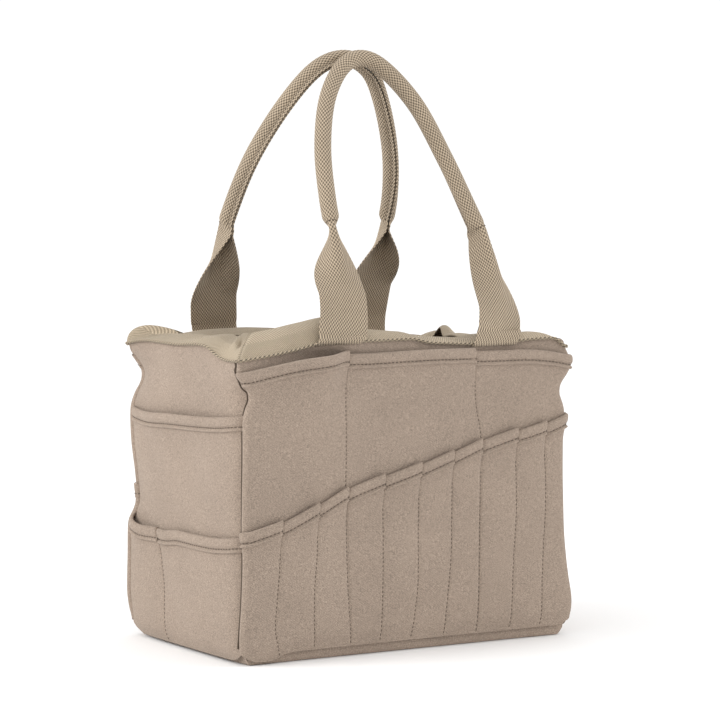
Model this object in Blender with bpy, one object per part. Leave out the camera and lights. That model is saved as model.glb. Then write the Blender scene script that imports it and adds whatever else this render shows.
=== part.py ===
"""Garden tool bag: a stand-up canvas bag with pockets on all four sides and two webbing handles.

Frame: origin at the centre of the base's underside, +Z up, +X along the front to the right,
+Y to the back. Lengths are in metres.
"""
import math

import bpy
import numpy as np

# ---- body ----
HALF_W_BASE = 0.175      # half the width just above the base
HALF_W_RIM = 0.181       # half the width at the rim: the ends flare outward
HALF_D = 0.113           # half the depth, front face to centre
RIM_Z = 0.294            # rim seam at the middle of each side
RIM_DROOP = 0.011        # the rim seam falls this much at the corners
RIM_CORNER = 0.75        # the fall starts at this share of the half side
RIM_PLACES = (-1.0, -0.9, -0.75, -0.35, 0.35, 0.75, 0.9, 1.0)
CANVAS = 0.0012          # canvas thickness
GAP = 0.0003             # clearance between pieces that touch

# ---- base ----
TRAY_H = 0.0095          # the base cloth turns up this far at its edge
TRAY_IN = 0.007          # and its flat underside stops this far inside the walls
BOARD_T = 0.003          # stiffener in the tray
BOARD_INSET = 0.004

# ---- rim band: 38 mm herringbone tape leaning up and inward ----
BAND_RISE = 0.024
BAND_IN = 0.029
BAND_T = 0.0014

# ---- pocket bindings ----
HEM_H = 0.0145           # height of the folded binding
HEM_T = 0.0008
HEM_ROOM = 0.0014        # stand-off that leaves room for the binding's inner leg

# ---- pockets ----
FRONT_PUFF = 0.0050      # how far a pocket stands away from what is behind it
END_PUFF = 0.0054
SHOULDER = 0.005         # a pocket reaches that this far from its side seams
PUFF_Z = 0.075           # and the height where it reaches that
ROW_STEP = 0.034         # height between level mesh rows
ROOM_LOW = 2.2           # the room for the binding opens between these two places,
ROOM_HIGH = 1.2          # counted in binding heights below the pocket's top
UPPER_SEAMS = (-0.069, 0.079)
UPPER_TOP = 0.285
UPPER_FALL = 0.011
SLANT_SEAMS = (-0.140, -0.101, -0.069, -0.030, 0.009, 0.045, 0.079, 0.119, 0.151)
SLANT_LEFT_Z = 0.124
SLANT_RIGHT_Z = 0.216
BACK_LOWER_SEAMS = (-0.079, 0.0, 0.069)
BACK_LOWER_Z = 0.150
END_MIDDLE_FRONT_Z = 0.233
END_MIDDLE_REAR_Z = 0.224
END_LOWER_Z = 0.118
END_LOWER_SEAM = 0.039   # towards the rear

# ---- handles: 50 mm webbing, rolled round a cord to make the grip ----
WEB_W = 0.050
WEB_T = 0.0018
GRIP_R = 0.0066          # to the middle of the webbing's thickness
ROLL_DEG = 344.0
CORD_R = 0.0053
PIVOT_OUT = 0.008        # the bending line stands this far in front of the body
PIVOT_Z = 0.292
APEX_Z = 0.5600
APEX_Y = 0.0079          # the two grips rest against each other at the centre
ROLL_START = 0.070       # webbing is flat up to here, measured up from the pivot
ROLL_END = 0.122         # and fully rolled from here on
HANDLE_STEPS = 36
# Shape of each loop as it stands: sideways place and height up the leaning plane.
FRONT_LOOP = ((-0.076, 0.0), (-0.068, 0.050), (-0.062, 0.100), (-0.057, 0.150), (-0.050, 0.200),
              (-0.034, 0.248), (-0.012, 0.281), (0.010, 0.2925), (0.034, 0.282), (0.062, 0.244),
              (0.081, 0.190), (0.097, 0.135), (0.104, 0.085), (0.103, 0.045), (0.098, 0.0))
REAR_LOOP = ((-0.083, 0.0), (-0.093, 0.045), (-0.096, 0.090), (-0.092, 0.140), (-0.080, 0.192),
             (-0.056, 0.245), (-0.028, 0.282), (0.002, 0.2925), (0.030, 0.279), (0.052, 0.246),
             (0.074, 0.195), (0.088, 0.145), (0.092, 0.100), (0.093, 0.050), (0.100, 0.0))

# ---- colours, linear ----
CANVAS_RGB = (0.40, 0.31, 0.25)
WEBBING_RGB = (0.46, 0.37, 0.27)
TAPE_RGB = (0.53, 0.43, 0.31)
CORD_RGB = (0.70, 0.66, 0.58)
BOARD_RGB = (0.16, 0.13, 0.10)


def clear_scene():
    """Remove whatever the scene holds."""
    for item in list(bpy.data.objects):
        bpy.data.objects.remove(item, do_unlink=True)


def smooth(t):
    """Smooth step from 0 to 1."""
    t = min(1.0, max(0.0, t))
    return t * t * (3.0 - 2.0 * t)


def half_width(z):
    """Half the body's width at a height: the ends flare from base to rim."""
    return HALF_W_BASE + (HALF_W_RIM - HALF_W_BASE) * z / RIM_Z


def rim_z(s):
    """Height of the rim seam at a place s (-1 to 1) along a side."""
    return RIM_Z - RIM_DROOP * smooth((abs(s) - RIM_CORNER) / (1.0 - RIM_CORNER))


# Each wall maps (s along the wall, height, distance out of its face) to a point.
def front_wall(s, z, out):
    return (s * half_width(z), -(HALF_D + out), z)


def back_wall(s, z, out):
    return (-s * half_width(z), HALF_D + out, z)


def left_wall(s, z, out):
    return (-(half_width(z) + out), -s * HALF_D, z)


def right_wall(s, z, out):
    return (half_width(z) + out, s * HALF_D, z)


def make_material(name, rgb, roughness):
    """A plain Principled material."""
    material = bpy.data.materials.new(name)
    material.use_nodes = True
    shader = material.node_tree.nodes["Principled BSDF"]
    shader.inputs["Base Color"].default_value = (*rgb, 1.0)
    shader.inputs["Roughness"].default_value = roughness
    shader.inputs["Metallic"].default_value = 0.0
    return material


def add_mesh(name, points, faces, rgb, roughness=0.9):
    """Make one named object from points and faces."""
    mesh = bpy.data.meshes.new(name)
    mesh.from_pydata([tuple(p) for p in points], [], faces)
    mesh.update()
    item = bpy.data.objects.new(name, mesh)
    bpy.context.scene.collection.objects.link(item)
    mesh.materials.append(make_material(name + "_material", rgb, roughness))
    return item


def grid_faces(columns, rows, offset, flip, wrap):
    """Triangles of a grid stored column by column, every cell cut along the same diagonal."""
    faces = []
    last = columns if wrap else columns - 1
    for i in range(last):
        k = (i + 1) % columns
        for j in range(rows - 1):
            a = offset + i * rows + j
            b = offset + k * rows + j
            for face in ((a, b, b + 1), (a, b + 1, a + 1)):
                faces.append(face[::-1] if flip else face)
    return faces


def slab(name, outer, inner, rgb, wrap=False):
    """A closed sheet between two grids, outer[i][j] and inner[i][j]; wrap joins it into a ring."""
    columns = len(outer)
    rows = len(outer[0])
    points = [p for column in outer for p in column]
    points += [p for column in inner for p in column]
    back = columns * rows
    faces = grid_faces(columns, rows, 0, False, wrap)
    faces += grid_faces(columns, rows, back, True, wrap)
    last = columns if wrap else columns - 1
    for i in range(last):
        a = i * rows
        b = ((i + 1) % columns) * rows
        faces.append((a, back + a, back + b, b))
        top = rows - 1
        faces.append((a + top, b + top, back + b + top, back + a + top))
    if not wrap:
        end = (columns - 1) * rows
        for j in range(rows - 1):
            faces.append((j, j + 1, back + j + 1, back + j))
            faces.append((end + j, back + end + j, back + end + j + 1, end + j + 1))
    return add_mesh(name, points, faces, rgb)


def sweep(name, sections, rgb):
    """A closed bar through rings of points, with a flat cap of one face at each end."""
    count = len(sections)
    size = len(sections[0])
    points = [p for ring in sections for p in ring]
    faces = []
    for i in range(count - 1):
        for k in range(size):
            n = (k + 1) % size
            faces.append((i * size + k, i * size + n, (i + 1) * size + n, (i + 1) * size + k))
    start = tuple(range(size))
    finish = tuple((count - 1) * size + k for k in range(size))
    faces.append(start[::-1])
    faces.append(finish)
    return add_mesh(name, points, faces, rgb)


def seam_places(seams, half):
    """Seam positions as shares of the half side, with the two ends added."""
    return [-1.0] + [x / half for x in seams] + [1.0]


def mesh_places(seams, shoulder):
    """Places of the mesh columns: each seam, its two shoulders, and the rim's own places."""
    places = set(RIM_PLACES)
    for seam in seams:
        places.update((seam - shoulder, seam, seam + shoulder))
    return sorted(s for s in places if -1.0 <= s <= 1.0)


def ramp(z, start, finish):
    """0 below start, 1 above finish, and straight between them."""
    return min(1.0, max(0.0, (z - start) / (finish - start)))


class Layer:
    """A pocket layer on a wall: its seams, its top edge, and how far out it stands."""

    def __init__(self, seams, shoulder, top, puff, below=None):
        self.seams = seams
        self.shoulder = shoulder
        self.top = top
        self.puff = puff
        self.below = below
        self.bottom = TRAY_H + GAP

    def inner(self, s, z):
        """Distance from the wall's face to this layer's inner face."""
        start = self.below.inner(s, z) + CANVAS if self.below else 0.0
        top = self.top(s)
        room = HEM_ROOM * ramp(z, top - ROOM_LOW * HEM_H, top - ROOM_HIGH * HEM_H)
        rise = ramp(z, self.bottom, PUFF_Z)
        away = min(abs(s - seam) for seam in self.seams)
        return start + GAP + room + self.puff * rise * min(1.0, away / self.shoulder)

    def rows(self, s):
        """Heights of the mesh rows. Every layer shares the level rows, so one never cuts another."""
        top = self.top(s)
        low = top - ROOM_LOW * HEM_H
        share = ROW_STEP * self.level_rows() + PUFF_Z
        level = [PUFF_Z + ROW_STEP * k for k in range(self.level_rows() + 1)]
        return [self.bottom] + level + [max(low, share + 0.002), top - ROOM_HIGH * HEM_H,
                                        top - GAP - HEM_T]

    def level_rows(self):
        """How many level rows fit below the lowest place of the binding's room."""
        lowest = min(self.top(-1.0), self.top(1.0)) - ROOM_LOW * HEM_H
        return int((lowest - PUFF_Z) / ROW_STEP)


def build_pocket(name, wall, layer, places):
    """The cloth of a pocket layer."""
    outer = []
    inner = []
    for s in places:
        rows = layer.rows(s)
        outer.append([wall(s, z, layer.inner(s, z) + CANVAS) for z in rows])
        inner.append([wall(s, z, layer.inner(s, z)) for z in rows])
    slab(name, outer, inner, CANVAS_RGB)


def build_hem(name, wall, layer, places):
    """The binding folded over a pocket layer's top edge, a U in section."""
    sections = []
    for s in places:
        top = layer.top(s)
        low = top - HEM_H
        in_low = layer.inner(s, low)
        in_top = layer.inner(s, top)
        near = GAP
        far = GAP + HEM_T
        ring = [(low, in_low + CANVAS + far), (top, in_top + CANVAS + far), (top, in_top - far),
                (low, in_low - far), (low, in_low - near), (top - HEM_T, in_top - near),
                (top - HEM_T, in_top + CANVAS + near), (low, in_low + CANVAS + near)]
        sections.append([wall(s, z, out) for z, out in ring])
    hem_bar(name, sections)


def hem_bar(name, sections):
    """A bar of U sections, each end closed by three flat quads."""
    count = len(sections)
    points = [p for ring in sections for p in ring]
    faces = []
    for i in range(count - 1):
        for k in range(8):
            n = (k + 1) % 8
            faces.append((i * 8 + n, i * 8 + k, (i + 1) * 8 + k, (i + 1) * 8 + n)[::-1])
    end = (count - 1) * 8
    for a, b, c, d in ((0, 1, 6, 7), (1, 2, 5, 6), (2, 3, 4, 5)):
        faces.append((a, b, c, d)[::-1])
        faces.append((end + a, end + b, end + c, end + d))
    add_mesh(name, points, [face[::-1] for face in faces], CANVAS_RGB)


def build_panel(name, wall, places, trim):
    """One wall of the body. Trim shortens it where it meets its neighbours."""
    outer = []
    inner = []
    for s in places:
        rows = np.linspace(TRAY_H + GAP, rim_z(s), 5)
        outer.append([wall(s * trim, z, 0.0) for z in rows])
        inner.append([wall(s * trim, z, -CANVAS) for z in rows])
    slab(name, outer, inner, CANVAS_RGB)


def rectangle(half_x, half_y, z):
    """Four corners, anticlockwise seen from above."""
    return [(-half_x, -half_y, z), (half_x, -half_y, z), (half_x, half_y, z), (-half_x, half_y, z)]


def build_base():
    """The base cloth: a shallow tray with a flat underside."""
    low_w = half_width(0.0) - TRAY_IN
    low_d = HALF_D - TRAY_IN
    loops = [rectangle(low_w, low_d, 0.0),
             rectangle(half_width(TRAY_H), HALF_D, TRAY_H),
             rectangle(half_width(TRAY_H) - 1.3 * CANVAS, HALF_D - 1.3 * CANVAS, TRAY_H),
             rectangle(low_w - CANVAS, low_d - CANVAS, CANVAS)]
    sweep("base_panel", loops, CANVAS_RGB)
    board = [rectangle(low_w - BOARD_INSET, low_d - BOARD_INSET, CANVAS + GAP),
             rectangle(low_w - BOARD_INSET, low_d - BOARD_INSET, CANVAS + GAP + BOARD_T)]
    sweep("base_board", board, BOARD_RGB)


def band_column(s, side):
    """Outer and inner points of the rim band at one place on one side."""
    low_z = rim_z(s) + GAP
    full = half_width(RIM_Z)
    outer = []
    inner = []
    for share in (0.0, 0.5, 1.0):
        into = BAND_IN * share
        z = low_z + BAND_RISE * share
        for target, shift in ((outer, 0.0), (inner, BAND_T)):
            x = full - into - shift
            y = HALF_D - into - shift
            place = {"front": (s * x, -y), "right": (x, s * y),
                     "back": (-s * x, y), "left": (-x, -s * y)}[side]
            target.append((place[0], place[1], z))
    return outer, inner


def build_band():
    """The tape round the mouth, a leaning ring with mitred corners."""
    outer = []
    inner = []
    for side in ("front", "right", "back", "left"):
        for s in RIM_PLACES[:-1]:
            a, b = band_column(s, side)
            outer.append(a)
            inner.append(b)
    slab("rim_band", outer, inner, TAPE_RGB, wrap=True)


def curve_point(points, t):
    """A point on the smooth curve through the given points, t from 0 to 1."""
    spans = len(points) - 1
    k = min(spans - 1, int(t * spans))
    u = t * spans - k
    a = np.array(points[max(0, k - 1)])
    b = np.array(points[k])
    c = np.array(points[k + 1])
    d = np.array(points[min(spans, k + 2)])
    return 0.5 * (2 * b + (c - a) * u + (2 * a - 5 * b + 4 * c - d) * u * u
                  + (3 * b - a - 3 * c + d) * u ** 3)


def even_path(points, steps):
    """Points at even spacing along the smooth curve, with its unit tangents."""
    fine = np.array([curve_point(points, t) for t in np.linspace(0.0, 1.0, 601)])
    run = np.concatenate([[0.0], np.cumsum(np.linalg.norm(np.diff(fine, axis=0), axis=1))])
    at = np.linspace(0.0, run[-1], steps + 1)
    path = np.column_stack([np.interp(at, run, fine[:, 0]), np.interp(at, run, fine[:, 1])])
    tangent = np.gradient(path, axis=0)
    tangent /= np.linalg.norm(tangent, axis=1)[:, None]
    return path, tangent


def build_handle(prefix, loop, side):
    """One handle: the webbing and the cord inside its grip. Side is -1 in front, +1 behind."""
    pivot = np.array([0.0, side * (HALF_D + PIVOT_OUT), PIVOT_Z])
    top = np.array([0.0, side * APEX_Y, APEX_Z])
    lean = (top - pivot) / np.linalg.norm(top - pivot)
    outward = np.array([0.0, side * lean[2], abs(lean[1])])
    path, tangent = even_path(loop, HANDLE_STEPS)
    outer = []
    inner = []
    cord = []
    for (x, up), (tx, tu) in zip(path, tangent):
        centre = pivot + np.array([x, 0.0, 0.0]) + lean * up
        along = np.array([tx, 0.0, 0.0]) + lean * tu
        across = np.cross(along, outward)
        roll = smooth((up - ROLL_START) / (ROLL_END - ROLL_START))
        a, b = webbing_section(centre, across, outward, roll)
        outer.append(a)
        inner.append(b)
        if up > ROLL_END:
            cord.append([centre + CORD_R * (math.cos(q) * across + math.sin(q) * outward)
                         for q in np.linspace(0.0, 2.0 * math.pi, 8, endpoint=False)])
    slab(prefix + "_strap", outer, inner, WEBBING_RGB)
    sweep(prefix + "_core", [ring[::-1] for ring in cord], CORD_RGB)


def webbing_section(centre, across, outward, roll):
    """Outer and inner points across the webbing: flat at roll 0, a near-closed tube at roll 1."""
    angle = max(1e-3, math.radians(ROLL_DEG) * roll)
    width = WEB_W + (math.radians(ROLL_DEG) * GRIP_R - WEB_W) * roll
    radius = width / angle
    outer = []
    inner = []
    for q in np.linspace(0.5, -0.5, 9):
        side = math.sin(q * angle)
        rise = math.cos(q * angle)
        middle = centre + outward * (GRIP_R * roll - radius)
        normal = side * across + rise * outward
        outer.append(tuple(middle + (radius + WEB_T / 2) * normal))
        inner.append(tuple(middle + (radius - WEB_T / 2) * normal))
    return outer, inner


def upper_top(s):
    """Top of the upper pocket layers: level, falling at the corners."""
    return UPPER_TOP - UPPER_FALL * smooth((abs(s) - 0.55) / 0.45)


def slant_top(s):
    """Top of the front's slanted layer, climbing from left to right."""
    return SLANT_LEFT_Z + (SLANT_RIGHT_Z - SLANT_LEFT_Z) * (s + 1.0) / 2.0


def middle_top(s, rear_sign):
    """Top of an end's middle layer, a little lower at the rear."""
    rear = 0.5 + 0.5 * s * rear_sign
    return END_MIDDLE_FRONT_Z + (END_MIDDLE_REAR_Z - END_MIDDLE_FRONT_Z) * rear


def build_layer(name, wall, layer, places):
    """A pocket layer's cloth and its binding."""
    build_pocket(name + "_pocket", wall, layer, places)
    build_hem(name + "_hem", wall, layer, places)


def build_front():
    """Front panel, the upper pockets and the slanted pockets on top of them."""
    half = half_width(0.15)
    shoulder = SHOULDER / half
    slant_seams = seam_places(SLANT_SEAMS, half)
    places = mesh_places(slant_seams, shoulder)
    upper = Layer(seam_places(UPPER_SEAMS, half), shoulder, upper_top, FRONT_PUFF)
    slant = Layer(slant_seams, shoulder, slant_top, FRONT_PUFF, below=upper)
    build_panel("front_panel", front_wall, RIM_PLACES, 1.0)
    build_layer("front_upper", front_wall, upper, places)
    build_layer("front_slant", front_wall, slant, places)


def build_back():
    """Back panel with one upper and one level lower pocket layer."""
    half = half_width(0.15)
    shoulder = SHOULDER / half
    upper_seams = seam_places([-x for x in UPPER_SEAMS[::-1]], half)
    lower_seams = seam_places(BACK_LOWER_SEAMS, half)
    places = mesh_places(upper_seams + lower_seams, shoulder)
    upper = Layer(upper_seams, shoulder, upper_top, FRONT_PUFF)
    lower = Layer(lower_seams, shoulder, lambda s: BACK_LOWER_Z, FRONT_PUFF, below=upper)
    build_panel("back_panel", back_wall, RIM_PLACES, 1.0)
    build_layer("back_upper", back_wall, upper, places)
    build_layer("back_lower", back_wall, lower, places)


def build_end(prefix, wall, rear_sign):
    """An end panel with a middle pocket and two lower pockets."""
    shoulder = SHOULDER / HALF_D
    lower_seams = seam_places([END_LOWER_SEAM * rear_sign], HALF_D)
    places = mesh_places(lower_seams, shoulder)
    middle = Layer([-1.0, 1.0], shoulder, lambda s: middle_top(s, rear_sign), END_PUFF)
    lower = Layer(lower_seams, shoulder, lambda s: END_LOWER_Z, END_PUFF, below=middle)
    trim = (HALF_D - CANVAS - GAP) / HALF_D
    build_panel(prefix + "_end_panel", wall, RIM_PLACES, trim)
    build_layer(prefix + "_middle", wall, middle, places)
    build_layer(prefix + "_lower", wall, lower, places)


clear_scene()
build_base()
build_front()
build_back()
build_end("left", left_wall, -1.0)
build_end("right", right_wall, 1.0)
build_band()
build_handle("front_handle", FRONT_LOOP, -1.0)
build_handle("rear_handle", REAR_LOOP, 1.0)
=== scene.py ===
"""Garden tool bag: the cloth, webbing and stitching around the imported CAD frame.

Frame: origin at the centre of the base's underside, +Z up, +X along the front to the right, +Y to
the back. Lengths are in metres. Every wall has its own place s, from -1 to 1 along the wall, a
height z, and a distance out of the wall's face.
"""
import math

import bpy
import numpy as np
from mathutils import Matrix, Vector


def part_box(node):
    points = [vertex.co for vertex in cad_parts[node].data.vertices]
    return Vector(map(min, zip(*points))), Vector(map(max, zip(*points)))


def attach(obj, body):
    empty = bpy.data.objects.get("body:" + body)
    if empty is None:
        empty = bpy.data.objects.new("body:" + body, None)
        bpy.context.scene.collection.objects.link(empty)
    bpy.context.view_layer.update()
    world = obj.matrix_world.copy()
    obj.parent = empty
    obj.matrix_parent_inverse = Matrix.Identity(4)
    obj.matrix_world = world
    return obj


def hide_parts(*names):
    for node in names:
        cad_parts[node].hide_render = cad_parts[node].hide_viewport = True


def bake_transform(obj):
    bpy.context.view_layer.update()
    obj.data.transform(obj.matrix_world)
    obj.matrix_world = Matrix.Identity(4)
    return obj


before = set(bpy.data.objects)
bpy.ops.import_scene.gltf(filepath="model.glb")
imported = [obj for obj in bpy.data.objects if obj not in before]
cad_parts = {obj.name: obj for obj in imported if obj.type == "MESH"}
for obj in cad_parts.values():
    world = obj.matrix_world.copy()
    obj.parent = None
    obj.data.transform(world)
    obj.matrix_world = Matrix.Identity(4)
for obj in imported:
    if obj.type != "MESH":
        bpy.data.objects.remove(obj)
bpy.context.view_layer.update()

# ---- body ----
HALF_W = 0.178           # half the width
HALF_D = 0.113           # half the depth
CLOTH = 0.0010           # canvas thickness
EDGE_R = 0.0034          # roundness of the long walls' vertical edges
EDGE_TURN = 3.00         # they turn this far round, in radians, into the corner seams
VALLEY = 0.0150          # depth and width of the rounding where an end wall dips to the front's seam
VALLEY_WIDE = 0.0240
VALLEY_REAR = 0.10       # and its share at the rear seam
SEAM_SHADE_IN = 0.0040         # a dark cord, painted shade for the shadow gap at the front's seam, lies this far from the end of the end wall
SEAM_SHADE_DEEPER = 0.0034     # and this much further where the end wall is most rounded
SEAM_SHADE_CLEAR = 0.0034      # and this much beside the front's binding, between these heights
BINDING_LOW = 0.252
BINDING_HIGH = 0.275
SEAM_SHADE_R = 0.0009          # radius of that cord of painted shade
FADE_FROM = 0.258        # the rounding fades out above this height, over this much
FADE_OVER = 0.028
FAR_RISE = 0.0010        # the right and back walls reach this far up under the tape
SLACK_X = -0.092         # middle and depth of the hollow behind the slack front pocket
SLACK_DEEP = 0.0060
BELLY = 0.0016           # the walls stand out this far at mid height
FOLD_WAVE = 0.110        # length and height of the soft folds in the walls
FOLD_HIGH = 0.0011
COLUMN = 0.0032          # mesh spacing along a wall, and up it
ROW = 0.0036
SHARP = 50.0             # edges sharper than this, in degrees, stay sharp

# ---- bindings and thread ----
HEM_H = 0.0150
TWILL_U = 0.00305        # spacing of the canvas ribs along a wall, and up it
TWILL_V = 0.00217
HEM_STITCH = 0.0104      # topstitching, below the top edge
LIP = 0.0014             # a layer stands off this far more at its top
STITCH_PITCH = 0.0041
STITCH_LONG = 0.0027
THREAD_R = 0.00039

# ---- rim ----
TAPE_W = 0.038           # herringbone tape
TAPE_T = 0.0012
TAPE_OUT = 0.0008
TAPE_ROWS = 22
ROPE_R = 0.0012          # the tape's corded edge at the seam
ROPE_LAY = 0.0048

# ---- handles ----
WEB_W = 0.050
WEB_T = 0.0018
GRIP_R = 0.0071          # to the middle of the webbing
GRIP_TURN = 2.70         # the webbing runs this far round the cord, in radians, each way
GRIP_EASE = 0.0025
FLANGE_LEAN = 0.14
CORD_R = 0.0056
PIVOT_OUT = 0.008
PIVOT_Z = 0.292
APEX_Z = 0.560
APEX_Y = 0.0079
FOLD_TIGHT = 0.0042      # half width of the webbing's bend where it is folded shut, and where it is flat
FOLD_LOOSE = 0.0140
NECK_LONG = 0.0110       # from folded shut to closed round the cord
WEB_COLUMNS = 89
FLANGE_COLUMN = 5
WEAVE_ACROSS = 0.0028
WEAVE_ALONG = 0.0042
WEAVE_HIGH = 0.00024

# Outline of the four vertical corners: how far each stands from the middle, by height.
NEAR_LEFT = ((0.0, .173), (.004, .176), (.010, .1795), (.022, .1805), (.060, .178), (.101, .1765),
             (.126, .178), (.156, .1775), (.205, .1765), (.224, .1765), (.234, .1750), (.240, .1725),
             (.247, .1685), (.254, .1695), (.263, .1765), (.273, .1825), (.285, .1835), (.300, .183))
NEAR_RIGHT = ((0.0, .179), (.006, .183), (.018, .187), (.034, .188), (.059, .184), (.094, .179),
              (.140, .177), (.190, .1765), (.218, .179), (.228, .177), (.238, .174), (.246, .175),
              (.260, .184), (.270, .186), (.281, .1815), (.300, .178))
FAR_LEFT = ((0.0, .172), (.006, .176), (.023, .180), (.045, .183), (.080, .182), (.106, .1815),
            (.114, .180), (.122, .1755), (.133, .172), (.150, .1735), (.160, .1745), (.190, .178),
            (.212, .179), (.226, .178), (.238, .174), (.250, .168), (.258, .167), (.268, .172),
            (.280, .180), (.288, .182), (.300, .181))
FAR_RIGHT = ((0.0, .171), (.006, .175), (.025, .181), (.060, .183), (.105, .182), (.124, .183),
             (.150, .178), (.200, .178), (.226, .181), (.238, .175), (.250, .171), (.262, .174),
             (.276, .183), (.300, .182))
# How far the middle of a wall stands out, by height: the foot tucks under.
LONG_FACE = ((0.0, .109), (.003, .1105), (.008, .1120), (.016, .1128), (.035, .1132), (.300, .1130))
END_FACE = ((0.0, .175), (.003, .1775), (.008, .1790), (.016, .1795), (.040, .1795), (.150, .1785),
            (.250, .1795), (.300, .1805))

# Height of the rim seam along each wall: (place in metres from the wall's middle, height).
FRONT_RIM = ((-.184, .284), (-.166, .286), (-.144, .289), (-.125, .292), (-.104, .296),
             (-.082, .297), (-.029, .297), (.002, .297), (.022, .293), (.047, .291), (.091, .289),
             (.122, .290), (.151, .2915), (.170, .2915), (.184, .282))
RIGHT_RIM = ((-.115, .282), (-.095, .284), (-.040, .283), (.040, .281), (.095, .280), (.115, .280))
BACK_RIM = ((-.184, .280), (-.172, .279), (-.160, .277), (-.120, .278), (-.060, .282), (0.0, .286),
            (.060, .290), (.120, .289), (.160, .286), (.184, .284))
LEFT_RIM = ((-.115, .284), (-.088, .289), (-.057, .291), (-.016, .291), (.034, .294), (.049, .293),
            (.067, .286), (.086, .283), (.115, .284))

# Lower edge of the cloth on each wall: (place, height).
FRONT_FOOT = ((-.184, .015), (-.176, .008), (-.166, .0035), (-.152, .0030), (-.143, .005),
              (-.134, .0085), (-.120, .0100), (0.0, .0105), (.150, .0105), (.168, .011), (.184, .020))
BACK_FOOT = ((-.184, .018), (-.168, .010), (0.0, .0095), (.168, .010), (.184, .018))
END_FOOT = ((-.115, .016), (-.100, .006), (-.085, .003), (.085, .003), (.100, .006), (.115, .016))

# Top edges of the pocket layers: (place, height).
FRONT_UPPER_TOP = ((-.187, .272), (-.169, .275), (-.147, .279), (-.123, .283), (-.096, .2855),
                   (-.070, .288), (-.041, .287), (.008, .287), (.066, .285), (.098, .284),
                   (.133, .283), (.156, .280), (.187, .273))
SLANT_TOP = ((-.184, .124), (-.142, .134), (-.102, .148), (-.070, .161), (-.031, .171),
             (.009, .180), (.045, .189), (.079, .198), (.119, .206), (.150, .211), (.184, .220))
BACK_UPPER_TOP = ((-.187, .272), (-.150, .280), (-.060, .283), (.060, .284), (.150, .280),
                  (.187, .272))
BACK_LOWER_TOP = ((-.187, .149), (-.120, .146), (0.0, .147), (.120, .146), (.187, .149))
LEFT_MIDDLE_TOP = ((-.115, .226), (-.070, .223), (-.025, .225), (.030, .227), (.068, .229),
                   (.115, .234))
LEFT_LOWER_TOP = ((-.115, .124), (-.091, .117), (-.064, .113), (-.030, .113), (.001, .116),
                  (.061, .116), (.115, .121))
RIGHT_MIDDLE_TOP = ((-.115, .223), (-.060, .221), (.030, .222), (.115, .226))
RIGHT_LOWER_TOP = ((-.115, .121), (-.060, .114), (.030, .113), (.064, .113), (.115, .122))

# Stitched dividers, (height, place) from the foot up.
FRONT_UPPER_LINES = (((.008, -.064), (.120, -.069), (.160, -.070), (.230, -.070), (.300, -.068)),
                     ((.008, .076), (.150, .080), (.200, .081), (.230, .076), (.260, .074),
                      (.300, .070)))
SLANT_LINES = (
    ((.006, -.140), (.035, -.1455), (.060, -.1440), (.100, -.1420), (.150, -.1420)),
    ((.008, -.103), (.035, -.1050), (.062, -.1055), (.100, -.1030), (.160, -.1020)),
    ((.008, -.064), (.040, -.0660), (.075, -.0680), (.120, -.0695), (.175, -.0700)),
    ((.008, -.032), (.050, -.0305), (.100, -.0310), (.185, -.0310)),
    ((.008, .002), (.035, .0060), (.065, .0088), (.120, .0083), (.195, .0090)),
    ((.008, .039), (.050, .0425), (.100, .0465), (.150, .0470), (.200, .0450)),
    ((.008, .076), (.060, .0780), (.120, .0797), (.210, .0790)),
    ((.008, .113), (.070, .1165), (.130, .1200), (.220, .1190)),
    ((.008, .147), (.045, .1480), (.075, .1510), (.140, .1555), (.225, .1510)))
BACK_UPPER_LINES = (((.008, -.074), (.150, -.078), (.300, -.079)),
                    ((.008, .064), (.150, .068), (.300, .069)))
BACK_LOWER_LINES = (((.008, -.080), (.080, -.077), (.160, -.079)),
                    ((.008, .003), (.080, -.002), (.160, 0.0)),
                    ((.008, .066), (.080, .071), (.160, .069)))
LEFT_LOWER_LINES = (((.004, -.033), (.040, -.036), (.075, -.038), (.130, -.047)),)
RIGHT_LOWER_LINES = (((.004, .036), (.060, .038), (.130, .042)),)

# Lean of the rim tape round the mouth, one turn from the near left corner by way of the front:
# (place, lean at the seam, lean at the free edge), leans in degrees inward from upright.
TAPE_LEAN = (
    (0.00, 37, 71), (0.06, 34, 74), (0.12, 26, 77), (0.20, 20, 80), (0.28, 24, 82),
    (0.36, 46, 92), (0.42, 60, 98), (0.60, 66, 100), (0.75, 66, 100), (0.85, 66, 102),
    (0.92, 60, 112), (0.96, 56, 128), (1.00, 44, 140), (1.05, 60, 108), (1.12, 68, 98), (1.50, 68, 98),
    (1.86, 68, 100), (1.92, 40, 106), (1.96, 48, 112), (2.00, 58, 118), (2.04, 67, 112), (2.09, 70, 105),
    (2.40, 70, 104), (2.55, 60, 115), (2.62, 50, 128), (2.85, 50, 128), (2.93, 56, 112),
    (2.966, 30, 112), (3.00, -15, 128), (3.018, 20, 108), (3.045, 56, 96), (3.14, 62, 96), (3.50, 64, 98),
    (3.74, 58, 92), (3.84, 42, 81), (3.91, 33, 73), (4.00, 37, 71))

# Each handle's loop: sideways place, and height up the leaning plane that it stands in.
FRONT_LOOP = ((-.0785, 0.0), (-.0685, .030), (-.0640, .060), (-.0610, .100), (-.0590, .150), (-.0525, .200),
              (-.037, .248), (-.014, .281), (.010, .2925), (.034, .282), (.062, .244),
              (.081, .190), (.0955, .138), (.1045, .104), (.1095, .076), (.1090, .050), (.103, .020),
              (.0955, 0.0))
REAR_LOOP = ((-.0805, 0.0), (-.0905, .045), (-.0945, .090), (-.0895, .140), (-.0775, .192),
             (-.054, .245), (-.027, .282), (.003, .2925), (.032, .279), (.0545, .246),
             (.0765, .195), (.0885, .145), (.0905, .100), (.0885, .050), (.0910, 0.0))
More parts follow.
